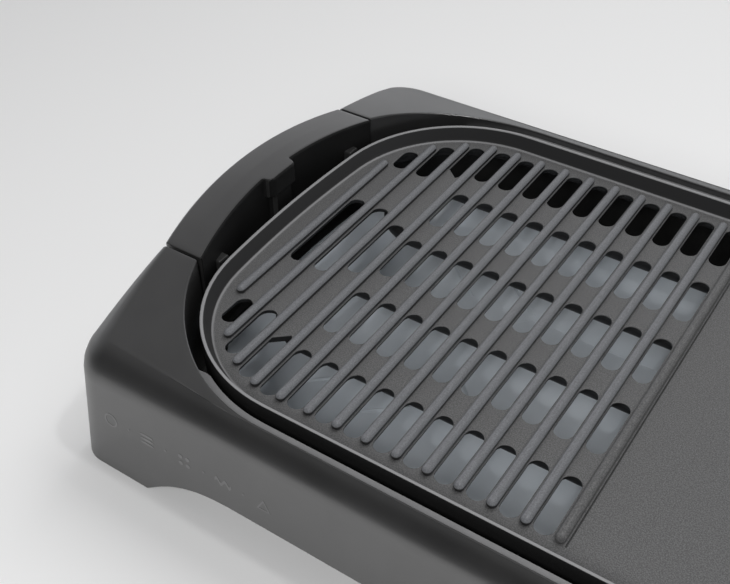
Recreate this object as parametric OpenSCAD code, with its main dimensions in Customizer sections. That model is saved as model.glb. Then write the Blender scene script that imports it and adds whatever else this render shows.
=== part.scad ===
// Table-top electric grill. A cast plate, half ribbed and half flat, lies in an arched
// black housing over a lift-out drip tray, and a plug-in temperature control feeds it.
// Millimetres. The modules are written about the middle of the housing, and place() moves
// them so that the origin is on the table at the middle of the whole footprint, control
// included. +Z is up and the front looks towards -Y.

/* [Grill plate] */
// Length of the plate over its rim
plate_len = 450; // [400:1:520]
// Depth of the plate over its rim
plate_depth = 263; // [230:1:300]
// Corner radius of the rim
plate_corner_r = 80; // [66:1:88]
// Radius of the slightly bowed ends of the plate
plate_end_r = 700; // [500:10:1500]
// Height of the cooking surface above the table
deck_h = 67; // [64:0.5:80]
// Thickness of the cooking surface
deck_t = 4; // [3:0.5:5]
// Height of the rim above the cooking surface
rim_h = 8.5; // [6:0.5:14]
// How far the inside of the rim leans outwards over its height
rim_lean = 3.5; // [2:0.5:5]
// Thickness of the skirt under the rim
skirt_t = 4; // [3:0.5:5]
// Depth of the skirt below the cooking surface
skirt_drop = 11; // [10:0.5:13]

/* [Ribs and slots] */
// Distance from rib to rib
rib_pitch = 16; // [14:0.5:17]
// Ribs, counting the border rib in the middle of the plate
rib_count = 14; // [8:1:14]
// Width of a rib
rib_w = 5.2; // [4:0.2:6]
// Height of a rib
rib_h = 4; // [3:0.2:6]
// Gap from a rib's end to the rim on the straight sides
rib_end_gap = 7; // [5:0.5:12]
// Width of a slot
slot_w = 9.5; // [7:0.5:10]
// Length of a slot
slot_len = 35; // [28:0.5:36]
// How far the slots stand left of the middle between two ribs
slot_shift = 0.5; // [0:0.1:1]
// Distance between the rows of slots
slot_row_pitch = 51.5; // [48:0.5:54]
// Width of the cast edge outside the slots near the bowed end
slot_edge = 6.5; // [5:0.5:10]

/* [Heating element] */
// Diameter of the heating rod
rod_d = 6.6; // [6:0.1:7.5]
// Diameter of the cast ridge round the rod
ridge_d = 9.6; // [9:0.2:11]
// Depth of the rod's centre below the cooking surface
rod_drop = 5.9; // [5.5:0.1:7]
// Diameter of a terminal pin
pin_d = 5; // [4:0.1:6]
// Distance between the terminal pins
pin_pitch = 20; // [18:0.5:22]
// Length of the pins outside the plate
pin_out = 20; // [16:1:22]

/* [Housing] */
// Gap from the plate to the housing at each end
end_gap = 7; // [6:0.5:12]
// Gap from the plate to the housing at front and back
side_gap = 10.5; // [9:0.5:16]
// Width of the sloping rim at the ends, at the crown
bezel_end_w = 16; // [14:0.5:24]
// Width of the sloping rim at front and back, at the crown
bezel_side_w = 9; // [8:0.5:20]
// How much wider the housing is at the foot than at the crown, on each side
foot_flare = 8; // [5:0.5:12]
// Height of the crown of the arched top
crown_h = 95; // [90:1:110]
// Height of the front and back edges
edge_h = 70.5; // [68:0.5:74]
// Wall thickness of the housing
wall = 2.8; // [2:0.1:3.5]
// Corner radius of the housing at the foot
corner_r = 22; // [16:1:30]
// Height of the arched opening between the feet
foot_arch_h = 22; // [14:1:22]
// Length of each foot along the front
foot_len = 51; // [40:1:70]
// Gap under the lower edge of the housing
edge_lift = 1; // [0.6:0.1:2]
// Width of the ledge inside the opening, at front and back
ledge_w = 5; // [3:0.5:6]
// Height of the top of that ledge above the table
ledge_h = 70; // [66:0.5:71]

/* [Handles] */
// Length of a handle along the end
handle_len = 160; // [140:1:180]
// Width of a handle
handle_w = 24; // [22:0.5:28]
// How far a handle bows out beyond the housing
handle_bow = 11; // [8:0.5:16]
// Height of the underside of the grip
grip_h = 62; // [58:1:66]
// Gap between a handle and the housing
seam = 0.6; // [0.4:0.1:1.5]
// Width of the tab in the middle of a handle
tab_w = 23; // [16:1:30]
// How far the tab stands out
tab_out = 5.5; // [3:0.5:6]

/* [Drip tray] */
// Gap between the tray's rim and the line of the plate's rim, at the front and the back
tray_gap = 15; // [12:0.5:18]
// The same gap at the two ends
tray_end_gap = 7; // [5:0.5:14]
// Height of the tray's rim above the table
tray_rim_h = 41.5; // [38:0.5:44]
// Depth of the tray
tray_deep = 17.5; // [14:0.5:19]
// How far the tray's long walls lean outwards
tray_slope = 16; // [10:0.5:18]
// How far its end walls lean outwards
tray_end_slope = 24; // [16:0.5:26]
// Thickness of the tray's sheet
tray_t = 1; // [0.8:0.1:1.5]
// Width of the tray's rim
tray_lip = 4; // [3:0.5:6]

/* [Base] */
// Thickness of the base's floor
floor_t = 2.5; // [2:0.1:3]
// Diameter of a rubber foot
foot_d = 18; // [14:1:22]
// Height of a rubber foot below the leg
foot_h = 2; // [1.5:0.5:3]

/* [Temperature control] */
// Place of the control along the back, right of the middle
control_x = 90; // [60:1:92]
// Width of the control
control_w = 58; // [52:1:60]
// Length of the control
control_len = 76; // [70:1:90]
// Height of the control
control_h = 33; // [30:1:36]
// Wall thickness of the control
control_wall = 2; // [1.6:0.1:2.5]
// Diameter of the dial
dial_d = 42; // [36:1:46]
// Height of the dial
dial_h = 11; // [8:0.5:14]
// Diameter of the dial's shaft
shaft_d = 6; // [5:0.1:7]
// Diameter of the temperature probe
probe_d = 5; // [4:0.1:5.5]

/* [Screws] */
// Shank diameter of the screws
screw_d = 3.4; // [3:0.1:4]
// Head diameter of the screws
head_d = 7; // [6:0.1:8]
// Height of a screw head
head_h = 2; // [1.6:0.1:2.6]

/* [Hidden] */

$fn = 48;
fine = 360;
fit = 0.05;
slip = 0.3;
eps = 0.01;

// Colours
black_plastic = "#2b2b2c";
handle_black = "#303031";
plate_grey = "#58595b";
tray_metal = "#a3abb3";
steel = "#b9bcc0";
brass = "#b59a52";
ceramic = "#e4dfd2";
rubber = "#1c1c1c";
amber = "#d9621e";

// Plan of the plate, the opening and the tray: straight front and back, bowed ends
corner_steps = 9;
bow_steps = 4;
plate_x = plate_len / 2;
plate_y = plate_depth / 2;
open_x = plate_x + end_gap;
open_y = plate_y + side_gap;

bow_cx = plate_x - plate_end_r;
corner_cy = plate_y - plate_corner_r;
corner_cx = bow_cx + sqrt(pow(plate_end_r - plate_corner_r, 2) - pow(corner_cy, 2));
corner_turn = atan2(corner_cy, corner_cx - bow_cx);

function arc_points(c, r, from, to, n) =
    [for (i = [0:n]) let (t = from + (to - from) * i / n) [c[0] + r * cos(t), c[1] + r * sin(t)]];
function quarter(gx, gy) = concat(
    arc_points([bow_cx + gx - gy, 0], plate_end_r + gy, 0, corner_turn, bow_steps),
    arc_points([corner_cx + gx - gy, corner_cy], plate_corner_r + gy, corner_turn, 90, corner_steps)
);
function flip(points, sx, sy) = [for (p = points) [p[0] * sx, p[1] * sy]];
function reversed(list) = [for (i = [len(list) - 1:-1:0]) list[i]];
function ring(gx, gy) = let (q = quarter(gx, gy)) concat(
    q, reversed(flip(q, -1, 1)), flip(q, -1, -1), reversed(flip(q, 1, -1))
);
// Half depth of the plate's plan at a place x, drawn in by a margin
function plan_y(x, inset) = let (dx = max(0, abs(x) - corner_cx), r = plate_corner_r - inset)
    corner_cy + sqrt(max(0, r * r - dx * dx));
// Half length of the plate's plan at a place y, on the bowed end or on the corner
function plan_x(y) = y < plate_end_r * sin(corner_turn)
    ? bow_cx + sqrt(pow(plate_end_r, 2) - y * y)
    : corner_cx + sqrt(max(0, pow(plate_corner_r, 2) - pow(y - corner_cy, 2)));

// Housing block, wider at the foot
top_x = open_x + bezel_end_w;
top_y = open_y + bezel_side_w;
foot_x = top_x + foot_flare;
foot_y = top_y + foot_flare;
edge_y = top_y + foot_flare * (1 - edge_h / crown_h);
arch_drop = crown_h - edge_h;
arch_r = (pow(edge_y, 2) + pow(arch_drop, 2)) / (2 * arch_drop);
function side_x(z) = foot_x - foot_flare * z / crown_h;
function side_y(z) = foot_y - foot_flare * z / crown_h;
function arch_z(y) = crown_h - arch_r + sqrt(pow(arch_r, 2) - pow(y, 2));

// Heights
rod_z = deck_h - rod_drop;
skirt_z = deck_h - skirt_drop;
rim_z = deck_h + rim_h;
skirt_out = 1.5;
tray_floor_z = tray_rim_h - tray_deep;
rib_pad = 1.5;
base_z = tray_floor_z - rib_pad - floor_t;
base_top = base_z + floor_t;

// Handle: a ring sector about handle_cx that bows out beyond the end
handle_y = handle_len / 2;
handle_r = (pow(handle_y, 2) + pow(handle_bow, 2)) / (2 * handle_bow);
handle_tip = side_x(arch_z(handle_y)) + handle_bow;
handle_cx = handle_tip - handle_r;
handle_in_r = handle_r - handle_w;
handle_wall = 2.5;
handle_skin = 3.5;
handle_deep = 45;
handle_boss_y = handle_y - 12;
handle_boss_r = handle_r - 11;
handle_boss_d = 8;
handle_boss_x = handle_cx + sqrt(pow(handle_boss_r, 2) - pow(handle_boss_y, 2));
handle_hole = 12;
tab_x = handle_cx + handle_in_r - tab_out;
tab_t = 12;
post_w = 14;
guide_y = handle_y - 19;
guide_x = plan_x(guide_y) + skirt_out + 1.2;
end_wall_in = handle_in_r + handle_wall + 0.5;
end_wall_t = 2.5;
shelf_t = 3;
shelf_w = 20;

// Heating rod: runs between the rows of slots
run_in = slot_row_pitch / 2;
run_out = slot_row_pitch * 1.5;
bend_r = run_in;
bend_x = 160;
near_bend_x = 135;
turn_r = 25;
far_x = 195;
exit_y = run_out + turn_r;
pin_left = control_x - pin_pitch / 2;
pin_right = control_x + pin_pitch / 2;
skirt_face = plate_y + skirt_out;
rod_end = skirt_face + 3;

// Control
notch_gap = 1.5;
notch_x = control_w / 2 + notch_gap;
control_y0 = skirt_face + 9;
control_y1 = control_y0 + control_len;
control_z0 = rod_z - 16;
control_z1 = control_z0 + control_h;
split_z = rod_z;
notch_z = control_z0 - notch_gap;
dial_y = control_y1 - dial_d / 2 - 3;
control_r = 7;
lens_y = control_y0 + 12;
block_len = 16;
thermo_y0 = control_y0 + block_len + 6;
thermo_len = 40;
well_y = run_out + ridge_d / 2 + 4;
probe_tip = well_y + probe_d / 2 + 1;

block_y = control_y0 + control_wall;
post_d = 6.6;
small_screw = 2.6;
small_head = 4.6;
small_sink = 3;
contact_d = 8;
thermo_z = rod_z + 6;
lens_d = 8;
lens_z = control_z1 - control_wall - 1;
gland_d = 11;
gland_bore = 7.2;
dial_z = control_z1 + 0.5;
dial_flutes = 24;

gland_rim = 3;
// Middle of the whole footprint, from the front foot to the control's back
middle_y = (control_y1 + gland_rim - foot_y) / 2;

// Guard and rivets on the back of the plate
guard_x = 24.5;
guard_z = 11.5;
guard_t = 1.2;
guard_deep = 8;
rivet_d = 3;
rivet_at = [pin_left - 9, pin_right + 9];
blade_w = 6.3;
blade_t = 0.8;
blade_z = rod_z - 8.5;

// Where things are fixed
boss_d = 8.6;
boss_hole = 16;
boss_in = [18, 59];
base_boss = [[foot_x - boss_in[0], foot_y - boss_in[1]], [150, open_y + wall + boss_d / 2 - 2]];
base_gap = 3;
pad_x = 150;
pad_y = 90;
leg_at = [foot_x - 26, foot_y - 26];
leg_d = 27;
lug_x = 135;
lug_w = 12;
lug_t = 5;
lug_reach = skirt_face - 3;
ledge_t = 2;
ledge_x = corner_cx + 45;

// Lower edge between the feet
arch_run = 60;
arch_power = 2.6;
arch_steps = 10;

module place() { translate([0, -middle_y, 0]) children(); }

module plan(gx, gy) { polygon(ring(gx, gy)); }

module rounded_rect(hx, hy, r) {
    square([2 * (hx - r), 2 * hy], center = true);
    square([2 * hx, 2 * (hy - r)], center = true);
    for (sx = [-1, 1], sy = [-1, 1]) translate([sx * (hx - r), sy * (hy - r)]) circle(r);
}

module rounded_box(x0, x1, y0, y1, z0, z1, r) {
    translate([(x0 + x1) / 2, (y0 + y1) / 2, z0]) linear_extrude(z1 - z0)
        rounded_rect((x1 - x0) / 2, (y1 - y0) / 2, r);
}

module box(x0, x1, y0, y1, z0, z1) { translate([x0, y0, z0]) cube([x1 - x0, y1 - y0, z1 - z0]); }

// A cylinder along Y, from the front end to the back end
module rod_y(x, y0, y1, z, d) { translate([x, y0, z]) rotate([-90, 0, 0]) cylinder(d = d, h = y1 - y0); }

module ends() { for (side = [0, 1]) mirror([side, 0, 0]) children(); }
module corners() { for (back = [0, 1]) mirror([0, back, 0]) ends() children(); }

// The drafted block of the housing, drawn in by a margin
module block(inset) {
    hull() {
        linear_extrude(eps) rounded_rect(foot_x - inset, foot_y - inset, corner_r - inset);
        translate([0, 0, crown_h]) linear_extrude(eps)
            rounded_rect(top_x - inset, top_y - inset, corner_r - foot_flare / 2 - inset);
    }
}

// Everything below the arched top, lowered by a skin
module under_arch(skin) {
    translate([0, 0, crown_h - arch_r]) rotate([0, 90, 0])
        cylinder(r = arch_r - skin, h = 2 * foot_x + 60, center = true, $fn = fine);
}

// A sector of the right-hand handle's ring between two radii
module handle_sector(r0, r1, half_y, z0, z1) {
    intersection() {
        translate([handle_cx, 0, z0]) difference() {
            cylinder(r = r1, h = z1 - z0, $fn = fine);
            translate([0, 0, -1]) cylinder(r = r0, h = z1 - z0 + 2, $fn = fine);
        }
        box(0, 2 * handle_tip, -half_y, half_y, z0 - 1, z1 + 1);
    }
}

// Arched opening under the front and the back
module foot_arch() {
    inner = foot_x - foot_len;
    rise = [for (i = [0:arch_steps]) let (t = i / arch_steps)
        [inner - arch_run * t, foot_arch_h * (1 - pow(1 - t, arch_power))]];
    rotate([90, 0, 0]) linear_extrude(2 * foot_y + 20, center = true)
        polygon(concat([[inner, -1]], rise, reversed(flip(rise, -1, 1)), [[-inner, -1]]));
}

// What stays solid inside the housing: inner wall, walls beside the handles and the notch
module inner_walls() {
    translate([0, 0, base_top]) linear_extrude(crown_h) plan(end_gap + wall, side_gap + wall);
    ends() for (s = [-1, 1])
        box(open_x - 20, foot_x, s * (handle_y + wall / 2) - wall / 2, s * (handle_y + wall / 2) + wall / 2,
            base_top, crown_h);
    box(control_x - notch_x - wall, control_x + notch_x + wall, open_y - 10, foot_y, notch_z - wall, crown_h);
}

module frame_shell() {
    difference() {
        intersection() {
            block(0);
            under_arch(0);
        }
        difference() {
            intersection() {
                block(wall);
                under_arch(wall);
            }
            inner_walls();
        }
        translate([0, 0, base_top - 1]) linear_extrude(crown_h) plan(end_gap, side_gap);
        ends() box(open_x - 20, foot_x + 5, -handle_y, handle_y, base_top + 2, crown_h + 1);
        foot_arch();
        box(-foot_x - 5, foot_x + 5, -foot_y - 5, foot_y + 5, -1, edge_lift);
    }
}

// Ledge inside the front and the back of the opening
module ledge() {
    ends() intersection() {
        translate([0, 0, ledge_h - ledge_t]) linear_extrude(ledge_t) difference() {
            plan(end_gap + 1, side_gap + 1);
            plan(end_gap - ledge_w, side_gap - ledge_w);
        }
        union() {
            box(-1, ledge_x, -foot_y, -corner_cy, 0, crown_h);
            box(-1, ledge_x, corner_cy, foot_y, 0, crown_h);
        }
    }
}

// Moulded black housing
module frame_cover() color(black_plastic) place() {
    difference() {
        union() {
            frame_shell();
            ledge();
            // End walls behind the handles, and the shelves that the handles are screwed to
            ends() {
                intersection() {
                    handle_sector(end_wall_in, end_wall_in + end_wall_t, handle_y + 1, base_top, crown_h);
                    under_arch(handle_skin + 1.5);
                }
                for (s = [0, 1]) mirror([0, s, 0]) intersection() {
                    handle_sector(end_wall_in, handle_r - 5, handle_y + 1, grip_h - shelf_t, grip_h);
                    box(0, 2 * handle_tip, handle_y - shelf_w, handle_y + 1, 0, crown_h);
                }
            }
            // Screw bosses, and the lugs that carry the plate
            corners() {
                for (p = base_boss) translate([p[0], p[1], base_top])
                    cylinder(d = boss_d, h = arch_z(p[1]) - wall - base_top);
                box(lug_x - lug_w / 2, lug_x + lug_w / 2, lug_reach, open_y + 1, skirt_z - lug_t, skirt_z);
            }
        }
        box(control_x - notch_x, control_x + notch_x, open_y - 10, foot_y + 5, notch_z, crown_h);
        corners() for (p = base_boss) translate([p[0], p[1], base_top - 1]) cylinder(d = screw_d, h = boss_hole + 1);
        ends() for (s = [-1, 1]) translate([handle_boss_x, s * handle_boss_y, grip_h - shelf_t - 1])
            cylinder(d = screw_d + 0.6, h = shelf_t + 2);
    }
}

// Floor of the grill with its legs and the pads for the tray
module base_pan() color(black_plastic) place() {
    difference() {
        union() {
            translate([0, 0, base_z]) linear_extrude(floor_t)
                rounded_rect(foot_x - wall - base_gap, foot_y - wall - base_gap, corner_r - wall - base_gap);
            for (x = [-pad_x, -pad_x / 3, pad_x / 3, pad_x]) box(x - 1.5, x + 1.5, -pad_y, pad_y, base_top, tray_floor_z);
            corners() translate([leg_at[0], leg_at[1], foot_h]) cylinder(d = leg_d, h = base_z - foot_h + 1);
        }
        corners() {
            for (p = base_boss) translate([p[0], p[1], base_z - 1]) cylinder(d = screw_d + 0.6, h = floor_t + 2);
            translate([leg_at[0], leg_at[1], foot_h - 1]) cylinder(d = foot_d, h = foot_h + 1);
        }
    }
}

// The right-hand handle; the left one is its mirror image
module handle() {
    lip = handle_y - seam;
    difference() {
        union() {
            intersection() {
                handle_sector(handle_in_r, handle_r, lip, handle_deep, crown_h + 1);
                under_arch(0);
            }
            // Tab over its post
            intersection() {
                union() {
                    rounded_box(tab_x, tab_x + tab_out + 4, -tab_w / 2, tab_w / 2, crown_h - tab_t, crown_h + 1, 2.5);
                    rounded_box(tab_x + 1, tab_x + tab_out + 4, -post_w / 2, post_w / 2, handle_deep + 4, crown_h - 4, 2);
                }
                under_arch(0);
            }
            // Guides that centre the plate
            for (s = [-1, 1]) box(guide_x, guide_x + 5, s * guide_y - 4, s * guide_y + 4, rim_z - 6, rim_z + 1);
        }
        intersection() {
            union() {
                handle_sector(handle_in_r + handle_wall, handle_r - handle_wall, lip - 2, handle_deep - 1, crown_h);
                handle_sector(handle_in_r + handle_wall, end_wall_in + end_wall_t + 0.5, lip + 5, handle_deep - 1, crown_h);
            }
            under_arch(handle_skin);
        }
        handle_sector(handle_in_r + handle_wall, handle_r + 5, lip + 5, handle_deep - 1, grip_h);
    }
    for (s = [-1, 1]) difference() {
        translate([handle_boss_x, s * handle_boss_y, grip_h])
            cylinder(d = handle_boss_d, h = arch_z(handle_boss_y) - handle_skin / 2 - grip_h);
        translate([handle_boss_x, s * handle_boss_y, grip_h - 1]) cylinder(d = screw_d, h = handle_hole + 1);
    }
}

module right_handle() color(handle_black) place() handle();
module left_handle() color(handle_black) place() mirror([1, 0, 0]) handle();

// A screw from below: its head hangs under z, its shank goes up
module screw(z, shank) {
    translate([0, 0, z - head_h]) cylinder(d = head_d, h = head_h);
    translate([0, 0, z]) cylinder(d = screw_d, h = shank);
}

module handle_screws() color(steel) place()
    ends() for (s = [-1, 1]) translate([handle_boss_x, s * handle_boss_y, 0])
        screw(grip_h - shelf_t, shelf_t + handle_hole - 1);

module base_screws() color(steel) place()
    corners() for (p = base_boss) translate([p[0], p[1], 0]) screw(base_z, floor_t + boss_hole - 1);

module rubber_feet() color(rubber) place()
    corners() translate([leg_at[0], leg_at[1], 0]) cylinder(d = foot_d, h = 2 * foot_h);

// Plan of the tray, drawn in from its rim and a share of the way down its walls
module tray_plan(inset, down)
    plan(-tray_end_gap - inset - down * tray_end_slope, -tray_gap - inset - down * tray_slope);

// Pressed metal tray that catches the drips
module drip_tray() color(tray_metal) place() {
    difference() {
        union() {
            translate([0, 0, tray_rim_h - tray_t]) linear_extrude(tray_t) tray_plan(0, 0);
            hull() {
                translate([0, 0, tray_rim_h - tray_t]) linear_extrude(eps) tray_plan(tray_lip, 0);
                translate([0, 0, tray_floor_z]) linear_extrude(eps) tray_plan(tray_lip, 1);
            }
        }
        hull() {
            translate([0, 0, tray_rim_h]) linear_extrude(eps) tray_plan(tray_lip + tray_t, 0);
            translate([0, 0, tray_floor_z + tray_t]) linear_extrude(eps) tray_plan(tray_lip + tray_t, 1);
        }
    }
}

function rib_x(k) = (k - rib_count) * rib_pitch;
// Half length of rib k: it stops short of the rim, a little more near the bowed end
function rib_half(k) = min(plan_y(rib_x(k), rim_lean + 5 + 3.5 / k), plate_y - rim_lean - rib_end_gap);

module rib(x, half) {
    r = rib_w / 2;
    pad = rib_h - r;
    // The pedestal stands out a little and ends just below the axis of the round top
    translate([x, 0, deck_h - 1]) linear_extrude(pad + 0.7) bar(r + 0.2, half + 0.2);
    translate([x, half, deck_h + pad]) rotate([90, 0, 0]) rotate_extrude($fn = 64) intersection() {
        union() {
            translate([0, r]) square([r, 2 * (half - r)]);
            translate([0, r]) circle(r);
            translate([0, 2 * half - r]) circle(r);
        }
        square([r + 1, 2 * half]);
    }
}

// Plan of a bar with round ends, from -half to half along Y
module bar(r, half) {
    square([2 * r, 2 * (half - r)], center = true);
    for (y = [r - half, half - r]) translate([0, y]) circle(r);
}

// A slot with round ends, or with one end cut on the slant
module slot(x, y0, y1, slant = 0) {
    r = slot_w / 2;
    difference() {
        union() {
            translate([x - r, y0 + r]) square([slot_w, y1 - y0 - slot_w]);
            for (y = [y0 + r, y1 - r]) translate([x, y]) circle(r);
        }
        if (slant > 0) polygon([[x - r - 1, y0 - 1], [x + r + 1, y0 - 1], [x - r - 1, y0 + slant]]);
    }
}

function slot_x(k) = rib_x(k + 0.5) - slot_shift;

module slots() {
    // Rows of equal slots
    for (k = [4:rib_count - 1], row = [-2:2])
        slot(slot_x(k), row * slot_row_pitch - slot_len / 2, row * slot_row_pitch + slot_len / 2);
    // Three columns beside the bowed end, round the bends of the rod
    for (k = [1:3]) {
        x = slot_x(k);
        outer = plan_y(x, rim_lean + slot_edge);
        middle = k < 3 ? run_in + 6.75 : run_in - 1.75;
        inner = k < 3 ? run_out - 6 : run_out + 3;
        slot(x, -middle, middle);
        slot(x, inner, outer, k < 3 ? 0 : 6);
        mirror([0, 1]) slot(x, inner, outer, k < 3 ? 0 : 6);
    }
}

// A bend of a rod of diameter d in the level plane, from one angle through a turn
module bend(c, r, from, turn, d) {
    translate([c[0], c[1], rod_z]) rotate([0, 0, from]) rotate_extrude(angle = turn) translate([r, 0]) circle(d = d);
}

module run_x(x0, x1, y, d) { translate([x0, y, rod_z]) rotate([0, 90, 0]) cylinder(d = d, h = x1 - x0); }

// The path of the heating rod: four runs with their bends, in and out at the back
module rod_path(d, tail) {
    rod_y(pin_left, exit_y, tail, rod_z, d);
    bend([pin_left - turn_r, exit_y], turn_r, -90, 90, d);
    run_x(-bend_x, pin_left - turn_r, run_out, d);
    bend([-bend_x, slot_row_pitch], bend_r, 90, 180, d);
    run_x(-bend_x, near_bend_x, run_in, d);
    bend([near_bend_x, 0], run_in, -90, 180, d);
    run_x(-bend_x, near_bend_x, -run_in, d);
    bend([-bend_x, -slot_row_pitch], bend_r, 90, 180, d);
    run_x(-bend_x, far_x - turn_r, -run_out, d);
    bend([far_x - turn_r, turn_r - run_out], turn_r, -90, 90, d);
    rod_y(far_x, turn_r - run_out, run_out - turn_r, rod_z, d);
    bend([far_x - turn_r, run_out - turn_r], turn_r, 0, 90, d);
    run_x(pin_right + turn_r, far_x - turn_r, run_out, d);
    bend([pin_right + turn_r, exit_y], turn_r, 180, 90, d);
    rod_y(pin_right, exit_y, tail, rod_z, d);
}

// Cast aluminium plate with a black non-stick coat
module grill_plate() color(plate_grey) place() {
    lean = rim_lean / rim_h;
    difference() {
        union() {
            difference() {
                translate([0, 0, skirt_z]) linear_extrude(rim_z - skirt_z) plan(skirt_out, skirt_out);
                hull() {
                    translate([0, 0, deck_h]) linear_extrude(eps) plan(-rim_lean, -rim_lean);
                    translate([0, 0, rim_z + 1]) linear_extrude(eps) plan(lean, lean);
                }
                translate([0, 0, skirt_z - 1]) linear_extrude(deck_h - deck_t - skirt_z + 1)
                    plan(skirt_out - skirt_t, skirt_out - skirt_t);
                translate([0, 0, deck_h - deck_t - 1]) linear_extrude(deck_t + 2) slots();
            }
            for (k = [1:rib_count]) rib(rib_x(k), rib_half(k));
            rod_path(ridge_d, plate_y);
            box(pin_left, pin_right, well_y - 4, plate_y, rod_z - 4.5, deck_h - 1);
        }
        rod_path(rod_d, rod_end + 1);
        rod_y(control_x, well_y, skirt_face + 1, rod_z, probe_d + 2 * slip);
        for (x = rivet_at) rod_y(x, skirt_face - skirt_t, skirt_face + 1, rod_z, rivet_d);
    }
}

module heating_element() color(steel) place() rod_path(rod_d, rod_end);

module terminal_pins() color(steel) place()
    for (x = [pin_left, pin_right]) rod_y(x, rod_end, skirt_face + pin_out, rod_z, pin_d);

module pin_insulators() color(ceramic) place()
    for (x = [pin_left, pin_right]) difference() {
        rod_y(x, rod_end, rod_end + 4, rod_z, pin_d + 4);
        rod_y(x, rod_end - 1, rod_end + 5, rod_z, pin_d + 2 * fit);
    }

// Sheet-metal guard round the pins
module terminal_guard() color(steel) place() difference() {
    rounded_side(guard_x, guard_z, 4, skirt_face, skirt_face + guard_deep);
    rounded_side(guard_x - guard_t, guard_z - guard_t, 3, skirt_face + guard_t, skirt_face + guard_deep + 1);
    for (x = [pin_left, pin_right]) rod_y(x, skirt_face - 1, skirt_face + 3, rod_z, rod_d + 2 * slip);
    rod_y(control_x, skirt_face - 1, skirt_face + 3, rod_z, probe_d + 1);
    for (x = rivet_at) rod_y(x, skirt_face - 1, skirt_face + 3, rod_z, rivet_d);
}

// A block with rounded edges along Y, centred on the middle of the pins
module rounded_side(hx, hz, r, y0, y1) {
    translate([control_x, y1, rod_z]) rotate([90, 0, 0]) linear_extrude(y1 - y0) rounded_rect(hx, hz, r);
}

module guard_rivets() color(steel) place()
    for (x = rivet_at) {
        rod_y(x, skirt_face - skirt_t, skirt_face + guard_t, rod_z, rivet_d);
        rod_y(x, skirt_face + guard_t, skirt_face + guard_t + 1.2, rod_z, 2 * rivet_d);
    }

module earth_pin() color(steel) place()
    box(control_x - blade_w / 2, control_x + blade_w / 2, skirt_face + guard_t, skirt_face + pin_out - 2,
        blade_z - blade_t / 2, blade_z + blade_t / 2);

module shell_openings() {
    for (x = [pin_left, pin_right]) rod_y(x, control_y0 - 1, control_y0 + control_wall + 1, rod_z, pin_d + 2);
    rod_y(control_x, control_y0 - 1, control_y0 + control_wall + 1, rod_z, probe_d + 1);
    rod_y(control_x, control_y1 - control_wall - 1, control_y1 + 1, rod_z, gland_d + 2 * fit);
    box(control_x - blade_w / 2 - 1, control_x + blade_w / 2 + 1, control_y0 - 1, control_y0 + control_wall + 1,
        blade_z - 1.5, blade_z + 1.5);
}

module control_shell(z0, z1, hollow0, hollow1) {
    difference() {
        rounded_box(control_x - control_w / 2, control_x + control_w / 2, control_y0, control_y1, z0, z1, control_r);
        rounded_box(control_x - control_w / 2 + control_wall, control_x + control_w / 2 - control_wall,
            control_y0 + control_wall, control_y1 - control_wall, hollow0, hollow1, control_r - control_wall);
        shell_openings();
    }
}

module at_control_posts() {
    for (sx = [-1, 1], y = [control_y0 + 8, control_y1 - 8]) translate([control_x + sx * (control_w / 2 - 6), y, 0])
        children();
}

module control_lower_shell() color(black_plastic) place() difference() {
    union() {
        control_shell(control_z0, split_z, control_z0 + control_wall, split_z + 1);
        at_control_posts() translate([0, 0, control_z0 + 1]) cylinder(d = post_d, h = split_z - control_z0 - 1);
    }
    at_control_posts() {
        translate([0, 0, control_z0 - 1]) cylinder(d = small_screw + 0.4, h = control_h);
        translate([0, 0, control_z0 - 1]) cylinder(d = small_head + 0.4, h = small_sink + 1);
    }
}

module control_upper_shell() color(black_plastic) place() difference() {
    union() {
        control_shell(split_z, control_z1, split_z - 1, control_z1 - control_wall);
        at_control_posts() translate([0, 0, split_z]) cylinder(d = post_d, h = control_z1 - split_z - 1);
    }
    at_control_posts() translate([0, 0, split_z - 1]) cylinder(d = small_screw, h = 9);
    translate([control_x, dial_y, control_z1 - control_wall - 1]) cylinder(d = shaft_d + 2 * fit, h = control_wall + 2);
    translate([control_x, lens_y, control_z1 - control_wall - 1]) cylinder(d = lens_d + 2 * fit, h = control_wall + 2);
}

module control_screws() color(steel) place()
    at_control_posts() {
        translate([0, 0, control_z0 + small_sink - 2]) cylinder(d = small_head, h = 2);
        translate([0, 0, control_z0 + small_sink]) cylinder(d = small_screw, h = split_z - control_z0 - small_sink + 7);
    }

module socket_block() color(ceramic) place() difference() {
    box(control_x - pin_pitch / 2 - 8, control_x + pin_pitch / 2 + 8, block_y, block_y + block_len,
        control_z0 + control_wall, rod_z + 8);
    for (x = [pin_left, pin_right]) rod_y(x, block_y - 1, block_y + block_len + 1, rod_z, contact_d);
    rod_y(control_x, block_y - 1, block_y + block_len + 1, rod_z, probe_d + 2 * slip);
    box(control_x - blade_w / 2 - 1, control_x + blade_w / 2 + 1, block_y - 1, block_y + block_len - 2,
        blade_z - 2, blade_z + 2);
}

module socket_contacts() color(brass) place()
    for (x = [pin_left, pin_right]) difference() {
        rod_y(x, block_y, block_y + block_len, rod_z, contact_d);
        rod_y(x, block_y - 1, block_y + block_len - 2, rod_z, pin_d + 2 * fit);
    }

module earth_contact() color(brass) place() difference() {
    box(control_x - blade_w / 2 - 1, control_x + blade_w / 2 + 1, block_y, block_y + block_len - 2, blade_z - 2, blade_z + 2);
    box(control_x - blade_w / 2 - 0.5, control_x + blade_w / 2 + 0.5, block_y - 1, block_y + block_len - 3,
        blade_z - blade_t / 2 - fit, blade_z + blade_t / 2 + fit);
}

module probe_rod() color(steel) place() {
    translate([control_x, probe_tip, rod_z]) sphere(d = probe_d);
    rod_y(control_x, probe_tip, thermo_y0, rod_z, probe_d);
}

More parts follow.
